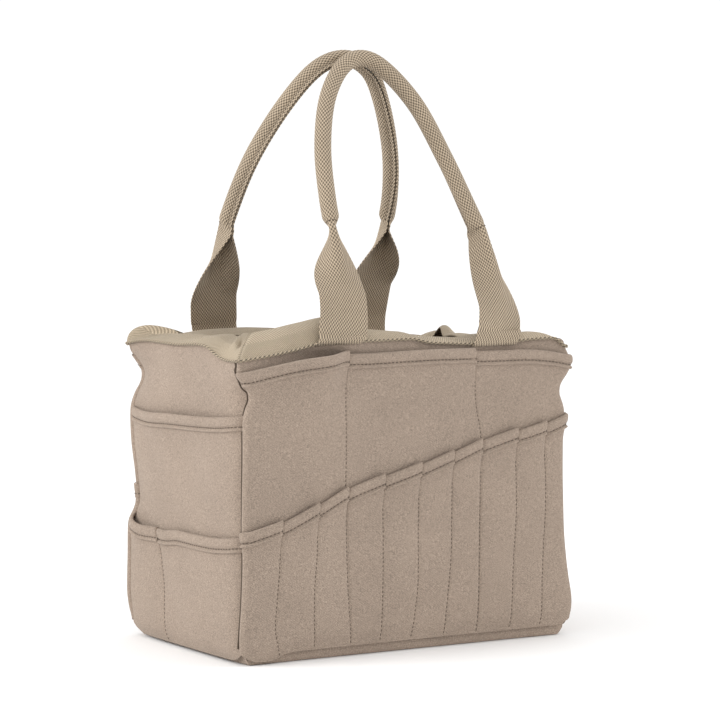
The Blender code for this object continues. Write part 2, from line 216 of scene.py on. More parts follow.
# Their four legs, left then right: height where the webbing starts to fold, height where it is folded
# shut, and how far it is turned, in degrees, seen from above, at the rim and at the fold.
FRONT_LEGS = ((.050, .1205, 0.0, -31.0), (.026, .1100, 9.0, 10.0))
REAR_LEGS = ((.035, .1130, 0.0, 0.0), (.044, .1130, 0.0, -20.0))

# ---- colours, linear ----
CANVAS_RGB = (0.320, 0.2525, 0.2010)
# the base is the same canvas, painted lighter to make up for the shade it sits in low under the front:
# painted light
BASE_LIGHTENED_RGB = (0.345, 0.271, 0.216)
WEBBING_RGB = (0.400, 0.320, 0.232)
TAPE_RGB = (0.480, 0.392, 0.283)
# sewing thread, painted darker than its own tan to stand in for the shade of its needle holes: partly thread
# colour, partly painted shade
THREAD_AND_HOLE_SHADE_RGB = (0.110, 0.082, 0.060)
CORD_RGB = (0.70, 0.66, 0.58)
BOARD_RGB = (0.16, 0.13, 0.10)

# ---- studio ----
ROOM_LIGHT = 1.05
LIGHT_AIM = (0.0, 0.0, 0.20)
LIGHT_SIZE = 2.4
KEY_PLACE = (-5.0, 1.1, 2.9)
KEY_WATTS = 165.0
FILL_PLACE = (4.4, -2.6, 2.2)
FILL_WATTS = 70.0
FLOOR_REACH = 6.0
CAMERA_PLACE = (-1.7181, -2.8704, 0.5519)
CAMERA_LENS = 172.7
CAMERA_DOWN = 4.83       # the camera looks this far below level, and this far to the right of +Y
CAMERA_TURN = 31.12


def smooth(t):
    """Smooth step from 0 to 1."""
    t = np.clip(t, 0.0, 1.0)
    return t * t * (3.0 - 2.0 * t)


def follow(points, at):
    """The smooth line through control points (place, value), with no overshoot between them."""
    places, values = np.array(points, float).T
    at = np.clip(at, places[0], places[-1])
    secant = np.diff(values) / np.diff(places)
    same = secant[1:] * secant[:-1] > 0.0
    most = 3.0 * same * np.minimum(np.abs(secant[1:]), np.abs(secant[:-1]))
    slope = np.gradient(values, places)
    slope[1:-1] = np.clip(slope[1:-1], -most, most)
    k = np.clip(np.searchsorted(places, at, side="right") - 1, 0, len(places) - 2)
    gap = places[k + 1] - places[k]
    t = (at - places[k]) / gap
    return ((2 * t ** 3 - 3 * t ** 2 + 1) * values[k] + (3 * t ** 2 - 2 * t ** 3) * values[k + 1]
            + (t ** 3 - 2 * t ** 2 + t) * gap * slope[k] + (t ** 3 - t ** 2) * gap * slope[k + 1])


def folds(u, v, seed, wave, high):
    """Soft random folds over a surface: a seeded sum of sines."""
    rng = np.random.default_rng(seed)
    total = 0.0
    for _ in range(8):
        angle = rng.uniform(0.0, 2.0 * math.pi)
        length = wave * rng.uniform(0.55, 1.8)
        phase = rng.uniform(0.0, 2.0 * math.pi)
        run = u * math.cos(angle) + v * math.sin(angle)
        total = total + np.sin(2.0 * math.pi * run / length + phase)
    return total * high / 2.8


def unit(vectors):
    """The vectors at length 1."""
    return vectors / np.linalg.norm(vectors, axis=-1, keepdims=True)


def run_along(path):
    """Distance from the path's start to each of its points."""
    return np.concatenate([[0.0], np.cumsum(np.linalg.norm(np.diff(path, axis=0), axis=1))])


def from_zero(steps):
    """Running totals along each row, from zero."""
    return np.concatenate([np.zeros((len(steps), 1)), np.cumsum(steps, 1)], axis=1)


# ---- mesh making ----
def signed_volume(points, quads):
    """Volume inside a closed mesh of quads; negative when its faces point in."""
    a, b, c, d = (points[quads[:, k]] for k in range(4))
    return float((np.cross(a, b) * c).sum() + (np.cross(a, c) * d).sum()) / 6.0


def make_piece(name, points, quads, uv, material):
    """One closed mesh object, its faces pointing out, with UVs in metres."""
    points = np.asarray(points, float)
    quads = np.asarray(quads, int)
    if signed_volume(points, quads) < 0.0:
        quads = quads[:, ::-1]
    mesh = bpy.data.meshes.new(name)
    mesh.from_pydata(points.tolist(), [], quads.tolist())
    layer = mesh.uv_layers.new(name="UVMap")
    order = np.empty(len(mesh.loops), np.int32)
    mesh.loops.foreach_get("vertex_index", order)
    layer.data.foreach_set("uv", np.asarray(uv, np.float32)[order].ravel())
    mesh.shade_smooth()
    mesh.set_sharp_from_angle(angle=math.radians(SHARP))
    mesh.materials.append(material)
    item = bpy.data.objects.new(name, mesh)
    bpy.context.scene.collection.objects.link(item)
    return item


def grid_quads(columns, rows, first=0, wrap=False):
    """Quads of a grid stored column by column; wrap joins the last column to the first."""
    i = np.arange(columns if wrap else columns - 1)[:, None]
    j = np.arange(rows - 1)[None, :]
    a = i * rows + j
    b = ((i + 1) % columns) * rows + j
    return first + np.stack([a, b, b + 1, a + 1], axis=-1).reshape(-1, 4)


def slab_parts(outer, inner, uv, wrap=False):
    """Points, quads and UVs of a closed sheet between two grids of shape (columns, rows, 3)."""
    columns, rows = outer.shape[:2]
    back = columns * rows
    points = np.concatenate([outer.reshape(-1, 3), inner.reshape(-1, 3)])
    quads = [grid_quads(columns, rows, 0, wrap), grid_quads(columns, rows, back, wrap)[:, ::-1]]
    i = np.arange(columns if wrap else columns - 1)
    a = i * rows
    b = ((i + 1) % columns) * rows
    quads.append(np.stack([a, back + a, back + b, b], axis=-1))
    top = rows - 1
    quads.append(np.stack([a + top, b + top, back + b + top, back + a + top], axis=-1))
    if not wrap:
        j = np.arange(rows - 1)
        end = (columns - 1) * rows
        quads.append(np.stack([j, j + 1, back + j + 1, back + j], axis=-1))
        quads.append(np.stack([end + j, back + end + j, back + end + j + 1, end + j + 1], axis=-1))
    flat = uv.reshape(-1, 2)
    return points, np.concatenate(quads), np.concatenate([flat, flat])


def join_parts(parts):
    """Several (points, quads, uv) as one."""
    points, quads, uv, count = [], [], [], 0
    for part in parts:
        points.append(part[0])
        quads.append(part[1] + count)
        uv.append(part[2])
        count += len(part[0])
    return np.concatenate(points), np.concatenate(quads), np.concatenate(uv)


def bar_parts(rings, uv, closed=False):
    """A closed bar through rings of points, shape (count, size, 3); closed joins it to a loop."""
    count, size = rings.shape[:2]
    i = np.arange(count if closed else count - 1)[:, None]
    k = np.arange(size)[None, :]
    a = i * size + k
    b = i * size + (k + 1) % size
    c = ((i + 1) % count) * size
    quads = [np.stack([a, b, c + (k + 1) % size, c + k], axis=-1).reshape(-1, 4)]
    if not closed:
        for ring, turn in ((0, -1), (count - 1, 1)):
            k = np.arange(size // 2 - 1)
            near = ring * size + k
            far = ring * size + size - 1 - k
            cap = np.stack([near, near + 1, far - 1, far], axis=-1)
            quads.append(cap[:, ::turn])
    return rings.reshape(-1, 3), np.concatenate(quads), uv.reshape(-1, 2)


# ---- walls ----
class Wall:
    """One side of the body. Points are given by place s, height z and distance out."""

    def __init__(self, turn, half, face, start, end, seed):
        self.turn = turn
        self.half = half
        self.face = face
        self.start = start
        self.end = end
        self.seed = seed
        self.wraps = turn % 2 == 0
        self.arc = EDGE_R * EDGE_TURN if self.wraps else 0.0
        self.nominal = half - EDGE_R + self.arc

    def corner(self, outline, z):
        """A corner's place along this wall, and its depth, at a height."""
        wide = follow(outline, z)
        tuck = 0.6 * (HALF_D - follow(LONG_FACE, z))
        deep = HALF_D - tuck - 0.35 * np.clip(0.178 - wide, 0.0, 1.0) * smooth((z - .12) / .05)
        return (wide, deep) if self.turn % 2 == 0 else (deep, wide)

    def relief(self, s, z):
        """The wall's own belly and soft folds."""
        belly = BELLY * (1.0 - s * s) * np.sin(np.pi * np.clip(z / 0.29, 0.0, 1.0))
        soft = folds(s * self.nominal, z, self.seed, FOLD_WAVE, FOLD_HIGH)
        return belly + soft * smooth(z / 0.03)

    def points(self, s, z, out):
        """World points; out is measured square to the cloth, also round the long walls' edges."""
        s, z, out = np.broadcast_arrays(s, z, out)
        corner_a, depth, along, left = self.place(s, z, self.arc)
        if self.wraps:
            turn = (1.0 - np.clip(left / self.arc, 0.0, 1.0)) * EDGE_TURN
            radius = EDGE_R + out
            a = np.where(left < self.arc, corner_a - EDGE_R + radius * np.sin(turn), along)
            b = depth - EDGE_R + radius * np.cos(turn)
        else:
            low = smooth((z - 0.002) / 0.040)
            high = 1.0 - smooth((z - FADE_FROM) / FADE_OVER)
            deep = np.where((s < 0.0) == (self.turn == 1), 1.0, VALLEY_REAR)
            near = 1.0 - np.clip(left / VALLEY_WIDE, 0.0, 1.0)
            valley = (0.0008 + VALLEY * low * high * deep) * (1.0 - np.sqrt(1.0 - 0.985 * near ** 2))
            a = along
            b = depth - valley + out
        return self.world(a * np.sign(s), b, z)

    def loop(self, s, z, out):
        """World points on one even line round the body, as at the rim and the foot."""
        s, z, out = np.broadcast_arrays(s, z, out)
        quarter = EDGE_R * math.pi / 4.0
        corner_a, depth, along, left = self.place(s, z, quarter)
        turn = (1.0 - np.clip(left / quarter, 0.0, 1.0)) * math.pi / 4.0
        radius = EDGE_R + out
        a = np.where(left < quarter, corner_a - EDGE_R + radius * np.sin(turn), along)
        b = depth - EDGE_R + radius * np.cos(turn)
        return self.world(a * np.sign(s), b, z)

    def place(self, s, z, arc):
        """The corner's place, the wall's depth, and the places along the wall and from its end."""
        far = np.abs(s)
        a0, b0 = self.corner(self.start, z)
        a1, b1 = self.corner(self.end, z)
        corner_a = np.where(s > 0.0, a1, a0)
        corner_b = np.where(s > 0.0, b1, b0)
        nominal = self.half - EDGE_R + arc
        span = corner_a - EDGE_R + arc
        pull = far ** 4
        along = far * nominal + pull * (span - nominal)
        face = follow(self.face, z)
        depth = face + pull * (corner_b - face) + (1.0 - pull) * self.relief(s, z)
        return corner_a, depth, along, np.clip(span - along, 0.0, None)

    def world(self, a, b, z):
        """World points from a place along the wall, a distance from the middle, and a height."""
        x, y = ((a, -b), (b, a), (-a, b), (-b, -a))[self.turn]
        return np.stack([x, y, z], axis=-1)


FRONT = Wall(0, HALF_W, LONG_FACE, NEAR_LEFT, NEAR_RIGHT, 3)
RIGHT = Wall(1, HALF_D, END_FACE, NEAR_RIGHT, FAR_RIGHT, 5)
BACK = Wall(2, HALF_W, LONG_FACE, FAR_RIGHT, FAR_LEFT, 8)
LEFT = Wall(3, HALF_D, END_FACE, FAR_LEFT, NEAR_LEFT, 13)
WALLS = (FRONT, RIGHT, BACK, LEFT)
RIMS = (FRONT_RIM, RIGHT_RIM, BACK_RIM, LEFT_RIM)
FEET = (FRONT_FOOT, END_FOOT, BACK_FOOT, END_FOOT)


class Layer:
    """A pocket layer: the dividers that cut it into pockets, its top edge, and its stand-off."""

    def __init__(self, wall, lines, top, puff=.0012, step=.0, saw=.0, gapes=(), below=None):
        self.wall = wall
        self.lines = lines
        self.top_line = top
        self.puff = puff
        self.step = step
        self.saw = saw
        self.gapes = gapes
        self.below = below
        self.foot_line = FEET[wall.turn]
        self.pockets = len(lines) + 1

    def edge(self, k, z):
        """Place s of divider k at a height; 0 and the last are the wall's own ends."""
        if k == 0:
            return np.full(np.shape(z), -1.0)
        if k == self.pockets:
            return np.full(np.shape(z), 1.0)
        return follow(self.lines[k - 1], z) / self.wall.nominal

    def top(self, k, t, s):
        """Top edge of pocket k; saw makes each pocket's far end stand above the next one."""
        inner = (k > 0) * (1.0 - t) * -0.5 + (k < self.pockets - 1) * t * 0.5
        return follow(self.top_line, s * self.wall.nominal) + self.saw * inner

    def out(self, k, t, s, z):
        """Distance of the layer's outer face from the wall."""
        under = self.below.out_at(s, z) if self.below else 0.0
        foot = follow(self.foot_line, s * self.wall.nominal)
        top = self.top(k, t, s)
        free = smooth((z - foot) / 0.014) * smooth((1.0 - np.abs(s)) * self.wall.half / 0.012)
        width = (self.edge(k + 1, z) - self.edge(k, z)) * self.wall.nominal
        away = np.minimum(t, 1.0 - t) * width
        stitched = np.where(t < 0.5, k > 0, k < self.pockets - 1)
        body = self.puff * (1.0 - np.abs(2.0 * t - 1.0) ** 3) * (0.4 + 0.6 * smooth(z / top))
        body = body - 0.0005 * stitched * np.exp(-(away / 0.0012) ** 2)
        near_top = smooth((z - top + 0.036) / 0.026)
        body = body + LIP * smooth((z - top + 0.024) / 0.016)
        proud = self.step * t ** 1.5 * near_top * (k < self.pockets - 1)
        return under + CLOTH * (0.25 + 0.75 * free) + (body + proud) * free + self.gape(k, t, top, z)

    def gape(self, k, t, top, z):
        """How far a slack pocket's mouth falls open."""
        total = 0.0
        for pocket, size, peak, deep in self.gapes:
            rise = smooth(t / peak) * smooth((1.0 - t) / (1.02 - peak))
            total = total + (k == pocket) * size * rise * smooth((z - top + deep) / deep)
        return total

    def out_at(self, s, z):
        """The same for any place s."""
        s, z = np.broadcast_arrays(s, z)
        result = np.zeros(s.shape)
        for k in range(self.pockets):
            low = self.edge(k, z)
            high = self.edge(k + 1, z)
            t = np.clip((s - low) / (high - low), 0.0, 1.0)
            inside = (s >= low) & (s <= high)
            result = np.where(inside, self.out(k, t, s, z), result)
        return result

    def shares(self, k):
        """Places across pocket k, from 0 to 1, closer together beside its seams."""
        z = 0.10
        width = float((self.edge(k + 1, z) - self.edge(k, z)) * self.wall.nominal)
        fine = np.array([0.0, .0006, .0013, .0021, .0031, .0042, .0055, .0070]) / width
        count = max(3, int(round((width - 0.014) / COLUMN)))
        middle = np.linspace(fine[-1], 1.0 - fine[-1], count + 1)[1:-1]
        return np.concatenate([fine, middle, 1.0 - fine[::-1]])

    def place(self, k, t, z_of):
        """Place s on a pocket's own line t at heights that depend on s, found by two passes."""
        z = z_of(np.full(np.shape(t), 0.0) + self.edge(k, 0.15) * (1 - t) + self.edge(k + 1, .15) * t)
        s = self.edge(k, z) * (1.0 - t) + self.edge(k + 1, z) * t
        z = z_of(s)
        return self.edge(k, z) * (1.0 - t) + self.edge(k + 1, z) * t, z


def pocket_cloth(layer, k):
    """The cloth of one pocket as a closed sheet."""
    t = layer.shares(k)[:, None]
    s0, low = layer.place(k, t, lambda s: follow(layer.foot_line, s * layer.wall.nominal))
    s1, high = layer.place(k, t, lambda s: layer.top(k, t, s) - 0.0012)
    rows = int(round(float((high - low).mean()) / ROW))
    share = np.linspace(0.0, 1.0, rows + 1)[None, :]
    z = low + (high - low) * share
    s = layer.edge(k, z) * (1.0 - t) + layer.edge(k + 1, z) * t
    out = layer.out(k, t + 0.0 * z, s, z)
    outer = layer.wall.points(s, z, out)
    inner = layer.wall.points(s, z, out - 0.85 * CLOTH)
    uv = np.stack([s * layer.wall.nominal, z], axis=-1)
    return slab_parts(outer, inner, uv)


# Section of a binding: (depth below the top edge, distance out of the layer's face).
HEM_SECTION = (
    (.0146, .0000), (.0145, .0011), (.0140, .0020), (.0132, .0024), (.0124, .0021), (.0116, .0012),
    (.0110, .0003), (.0104, .0000), (.0098, .0004), (.0090, .0011), (.0076, .0017), (.0055, .0020),
    (.0030, .0020), (.0012, .0017), (.0003, .0008), (.0000, -.0003), (.0003, -.0014), (.0012, -.0019),
    (.0040, -.0021), (.0080, -.0020), (.0120, -.0018), (.0140, -.0016), (.0144, -.0012), (.0146, -.0006))


def pocket_hem(layer, k):
    """The binding folded over one pocket's top edge."""
    t = layer.shares(k)[:, None]
    depth, proud = np.array(HEM_SECTION).T
    s_top, top = layer.place(k, t, lambda s: layer.top(k, t, s))
    z = top - depth[None, :]
    s = layer.edge(k, z) * (1.0 - t) + layer.edge(k + 1, z) * t
    inside = (1.0 - np.abs(s)) * layer.wall.half
    fade = smooth(inside / 0.024) if layer.wall is BACK else 0.35 + 0.65 * smooth(inside / 0.006)
    soft = 1.0 + 0.10 * np.sin(s * layer.wall.nominal * 2.0 * math.pi / 0.021 + 5.0 * depth / HEM_H)
    out = layer.out(k, t + 0.0 * z, s, z) + proud[None, :] * fade * soft
    uv = np.stack([s * layer.wall.nominal, z + 0.0 * s], axis=-1)
    return bar_parts(layer.wall.points(s, z, out), uv)


# ---- thread ----
def stitches(path, normal, pitch=STITCH_PITCH, long=STITCH_LONG, radius=THREAD_R):
    """Short stitches lying along a path, each a small closed capsule."""
    run = run_along(path)
    middles = np.arange(pitch * 0.5, run[-1] - pitch * 0.4, pitch)
    if not len(middles):
        return []

    def at(values, where):
        return np.stack([np.interp(where, run, values[:, k]) for k in range(3)], axis=-1)

    along = at(path, middles + long / 2) - at(path, middles - long / 2)
    along = unit(along)
    up = at(normal, middles)
    up -= (up * along).sum(1)[:, None] * along
    up = unit(up)
    side = np.cross(along, up)
    spots = np.array([-0.5, -0.42, -0.2, 0.2, 0.42, 0.5])
    sizes = np.array([0.25, 0.75, 1.0, 1.0, 0.75, 0.25]) * radius
    sinks = np.array([-1.6, -0.5, 0.0, 0.0, -0.5, -1.6]) * radius
    angles = np.arange(6) * math.pi / 3.0
    centre = (at(path, middles)[:, None, :] + along[:, None, :] * (spots * long)[None, :, None]
              + up[:, None, :] * sinks[None, :, None])
    ring = (np.cos(angles)[:, None] * side[:, None, None, :]
            + np.sin(angles)[:, None] * up[:, None, None, :])
    rings = centre[:, :, None, :] + sizes[None, :, None, None] * ring
    parts = []
    for stitch in rings:
        parts.append(bar_parts(stitch, np.zeros((6, 6, 2))))
    return parts


def wall_stitches(layer, k, t, z, lift):
    """Stitches on a pocket along a line given by t and z, lift above its face."""
    s = layer.edge(k, z) * (1.0 - t) + layer.edge(k + 1, z) * t
    out = layer.out(k, t, s, z)
    path = layer.wall.points(s, z, out + lift)
    normal = layer.wall.points(s, z, out + lift + 0.002) - path
    return stitches(path, normal)


def hem_stitches(layer, k):
    """The topstitching of one pocket's binding."""
    t = np.linspace(0.012, 0.988, 90)
    s, z = layer.place(k, t, lambda s: layer.top(k, t, s) - HEM_STITCH)
    return wall_stitches(layer, k, t, z, 0.00042)


def divider_stitches(layer, k, hidden_below=None):
    """The stitches down the divider at the left of pocket k."""
    s = layer.edge(k, 0.15)
    low = float(follow(layer.foot_line, s * layer.wall.nominal)) + 0.002
    high = float(layer.top(k, 0.0, s)) - 0.0005
    if hidden_below:
        low = float(follow(hidden_below, s * layer.wall.nominal)) - 0.004
    z = np.linspace(low, high - HEM_H, 80)
    parts = wall_stitches(layer, k, np.zeros(80), z, 0.00015)
    z = np.linspace(high - HEM_H, high, 30)
    return parts + wall_stitches(layer, k, np.full(30, 0.004), z, 0.0012)


# ---- walls' own cloth, and the base ----
def panel_cloth(wall, rim, foot):
    """One wall of the body, from the base seam to the rim seam."""
    count = int(round(2.0 * wall.half / COLUMN))
    edge = np.array([0.0, .0012, .0024, .0036, .0048, .0060, .0072, .0086]) / wall.half
    middle = np.linspace(-1.0 + edge[-1], 1.0 - edge[-1], count)[1:-1]
    s = np.concatenate([-1.0 + edge, middle, 1.0 - edge[::-1]])[:, None]
    low = follow(foot, s * wall.nominal) + 0.0006
    high = follow(rim, s * wall.nominal) + (FAR_RISE if wall in (RIGHT, BACK) else 0.0)
    z = low + (high - low) * np.linspace(0.0, 1.0, int(0.285 / ROW))[None, :]
    dent = 0.00075 * np.exp(-((high - z) / 0.006) ** 2)
    if wall is FRONT:
        dent = dent + slack_hollow(s * wall.nominal, z)
    outer = wall.points(s, z, -dent)
    inner = wall.points(s, z, -dent - 0.9 * CLOTH)
    uv = np.stack([s * wall.nominal + 0.0 * z, z], axis=-1)
    return slab_parts(outer, inner, uv)


def slack_hollow(x, z):
    """How far the front is pushed in behind its slack left pocket."""
    beside = np.exp(-((x - SLACK_X) / 0.034) ** 2)
    return SLACK_DEEP * beside * smooth((z - 0.235) / 0.035) * (1.0 - smooth((z - 0.284) / 0.010))


def front_seam_shadows():
    """A dark cord of painted shade: the shadow gap beside the front's rolled edges, on both end walls."""
    parts = []
    angle = np.arange(8) * math.pi / 4.0
    for wall, sign, rim in ((LEFT, 1.0, LEFT_RIM), (RIGHT, -1.0, RIGHT_RIM)):
        high = float(follow(rim, sign * wall.nominal)) - 0.0015
        z = np.linspace(0.016, high, 150)
        deep = smooth(z / 0.040) * (1.0 - smooth((z - FADE_FROM) / FADE_OVER))
        bound = smooth((z - BINDING_LOW) / 0.006) * (1.0 - smooth((z - BINDING_HIGH) / 0.004))
        s = sign * (1.0 - (SEAM_SHADE_IN + SEAM_SHADE_DEEPER * deep + SEAM_SHADE_CLEAR * bound) / wall.half)
        over = 0.0006 + 0.0006 * smooth((0.236 - z) / 0.012) + 0.0008 * smooth((0.130 - z) / 0.012)
        path = wall.points(s, z, over)
        out = wall.points(s, z, over + 0.001) - path
        out = unit(out)
        along = np.gradient(path, axis=0)
        side = np.cross(unit(along), out)
        ring = (np.cos(angle)[None, :, None] * side[:, None, :]
                + np.sin(angle)[None, :, None] * out[:, None, :])
        rings = path[:, None, :] + SEAM_SHADE_R * ring
        parts.append(bar_parts(rings, np.zeros((len(z), 8, 2))))
    return join_parts(parts)


def base_cloth():
    """The base: its edge shows under the front, and its underside is flat."""
    heights = (("foot", 0.0030), ("foot", 0.0006), ("part", 0.60), ("part", 0.32), ("part", 0.14),
               ("part", 0.05), ("flat", 0.0))
    loops = []
    for kind, value in heights:
        loop = []
        for wall, foot in zip(WALLS, FEET):
            s = np.linspace(-1.0, 1.0, int(2.0 * wall.half / 0.004))[:-1]
            base = follow(foot, s * wall.nominal)
            z = base + value if kind == "foot" else base * value
            z = np.maximum(z, 0.0004)
            loop.append(wall.loop(s, z, -0.0048 if kind == "foot" else -0.0036))
        loops.append(np.concatenate(loop))
    edge = loops[-1]
    for share in (0.97, 0.90, 0.75, 0.5, 0.25, 0.02):
        ring = edge * np.array([share, share, 1.0])
        ring[:, 2] = 0.0004
        loops.append(ring)
    outer = np.stack(loops, axis=1)
    inner = outer.copy()
    inner[:, :7, :2] *= 0.992
    inner[:, 2:, 2] += CLOTH
    uv = outer[:, :, :2].copy()
    return slab_parts(outer, inner, uv, wrap=True)


def base_board():
    """The stiffener lying in the base, with eased edges and corners."""
    low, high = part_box("base_board")
    half_x, half_y = high.x, high.y
    height = high.z - low.z
    angle = np.linspace(0.0, 2.0 * math.pi, 120, endpoint=False)
    corner = 0.012
    x = np.sign(np.cos(angle)) * np.minimum(np.abs(np.cos(angle)) * 2.0, 1.0) ** 0.5
    y = np.sign(np.sin(angle)) * np.minimum(np.abs(np.sin(angle)) * 2.0, 1.0) ** 0.5
    rings = []
    for inset, up in ((None, 0.0), (.002, 0.0), (0.0, .0006), (0.0, height - .0006),
                      (.0006, height - .0001), (.002, height), (None, height)):
        if inset is None:
            ring = np.stack([x * 0.001, y * 0.001, 0.0 * x + low.z + up], axis=-1)
        else:
            ring = np.stack([x * (half_x - corner - inset) + corner * np.cos(angle),
                             y * (half_y - corner - inset) + corner * np.sin(angle),
                             0.0 * x + low.z + up], axis=-1)
        rings.append(ring)
    rings = np.stack(rings)
    return bar_parts(rings, rings[:, :, :2])


# ---- rim ----
def lean_at(place, share):
    """Inward lean of the tape, in radians, at a place round the mouth and across the tape."""
    places = np.array([p[0] for p in TAPE_LEAN])
    low = follow(np.column_stack([places, [p[1] for p in TAPE_LEAN]]), place)
    high = follow(np.column_stack([places, [p[2] for p in TAPE_LEAN]]), place)
    return np.radians(low + (high - low) * share)


def rim_places(wall):
    """Places along one side of the rim, closer together at the corners."""
    near = np.array([0.0, .0006, .0014, .0024, .0036, .0050, .0068]) / wall.half
    count = int(round(2.0 * wall.half / 0.0026))
    middle = np.linspace(-1.0 + near[-1], 1.0 - near[-1], count)[1:-1]
    return np.concatenate([-1.0 + near, middle, 1.0 - near[::-1][:-1]])


def rim_columns(shift):
    """Points of the tape round the mouth, (columns, rows, 3), shift off its middle surface."""
    columns = []
    marks = []
    share = np.linspace(0.0, 1.0, TAPE_ROWS)
    run = 0.0
    for wall, rim in zip(WALLS, RIMS):
        s = rim_places(wall)
        place = wall.turn + (s + 1.0) / 2.0
        lean = lean_at(place[:, None], share[None, :])
        step = TAPE_W / (TAPE_ROWS - 1)
        middle = (lean[:, 1:] + lean[:, :-1]) / 2.0
        into = from_zero(np.sin(middle) * step)
        rise = from_zero(np.cos(middle) * step)
        wave = folds(run + s * wall.half, 0.0, 21, 0.060, 0.0009)[:, None] * share[None, :]
        dip = rim_marks(place[:, None], share[None, :])
        off = shift + wave + dip
        into = into - off * np.cos(lean)
        rise = rise + off * np.sin(lean)
        z = follow(rim, s * wall.nominal)
        seam = wall.loop(s, z, TAPE_OUT)
        a, b = wall_axes(wall)
        move = -(s[:, None] * into)[:, :, None] * a - into[:, :, None] * b
        columns.append(seam[:, None, :] + move + rise[:, :, None] * np.array([0.0, 0.0, 1.0]))
        long = (run + (s + 1.0) * wall.half)[:, None] + 0.0 * into
        marks.append(np.stack([long, 0.0 * long + share[None, :] * TAPE_W], axis=-1))
        run += 2.0 * wall.half
    return np.concatenate(columns), np.concatenate(marks)


def rim_marks(place, share):
    """Sewn and pushed-in spots of the tape: the dart at the near left corner, creased mitres."""
    dart = 0.0040 * np.exp(-((place - 3.955) / 0.020) ** 2 - ((share - 0.55) / 0.16) ** 2)
    lip = 0.0016 * np.exp(-((place - 3.905) / 0.022) ** 2 - ((share - 0.62) / 0.20) ** 2)
    turn = np.abs(place - np.round(place))
    mitre = 0.0010 * np.exp(-(turn / 0.006) ** 2)
    return lip - dart - mitre


def wall_axes(wall):
    """World directions along a wall and square out of it."""
    zero = np.zeros(1)
    along = wall.world(zero + 1.0, zero, zero)[0]
    outward = wall.world(zero, zero + 1.0, zero)[0]
    return along, outward


def rim_tape():
    """The herringbone tape as a closed ring."""
    outer, uv = rim_columns(TAPE_T / 2.0)
    inner = rim_columns(-TAPE_T / 2.0)[0]
    return slab_parts(outer, inner, uv, wrap=True)


def rim_rope():
    """The tape's corded edge, twisted, along the rim seam."""
    path = []
    for wall, rim in zip(WALLS, RIMS):
        s = np.linspace(-1.0, 1.0, int(2.0 * wall.half / 0.0007))[:-1]
        z = follow(rim, s * wall.nominal) + 0.0004
        path.append(wall.loop(s, z, TAPE_OUT + 0.0006))
    path = np.concatenate(path)
    along = np.roll(path, -1, axis=0) - np.roll(path, 1, axis=0)
    along = unit(along)
    up = np.array([0.0, 0.0, 1.0]) - along[:, 2:] * along
    up = unit(up)
    side = np.cross(along, up)
    run = np.cumsum(np.linalg.norm(np.roll(path, -1, axis=0) - path, axis=1))
    laps = np.round(run[-1] / ROPE_LAY)
    angle = np.linspace(0.0, 2.0 * math.pi, 10, endpoint=False)[None, :]
    turn = 2.0 * math.pi * laps * (run / run[-1])[:, None]
    radius = ROPE_R * (1.0 + 0.30 * np.cos(2.0 * angle - turn))
    ring = (radius * np.cos(angle))[:, :, None] * side[:, None, :]
    ring = ring + (radius * np.sin(angle))[:, :, None] * up[:, None, :]
    uv = np.stack([turn - 2.0 * angle, turn + 0.0 * angle], axis=-1)
    return bar_parts(path[:, None, :] + ring, uv, closed=True)


# ---- handles ----
def even_path(points, spacing):
    """Evenly spaced points on the smooth curve through a loop's points."""
    points = np.array(points, float)
    spans = len(points) - 1
    t = np.linspace(0.0, spans, 40 * spans + 1)
    k = np.minimum(t.astype(int), spans - 1)
    u = (t - k)[:, None]
    a, b = points[np.maximum(k - 1, 0)], points[k]
    c, d = points[k + 1], points[np.minimum(k + 2, spans)]
    fine = 0.5 * (2 * b + (c - a) * u + (2 * a - 5 * b + 4 * c - d) * u ** 2
                  + (3 * b - a - 3 * c + d) * u ** 3)
    run = run_along(fine)
    at = np.linspace(0.0, run[-1], int(round(run[-1] / spacing)) + 1)
    return np.column_stack([np.interp(at, run, fine[:, 0]), np.interp(at, run, fine[:, 1])])


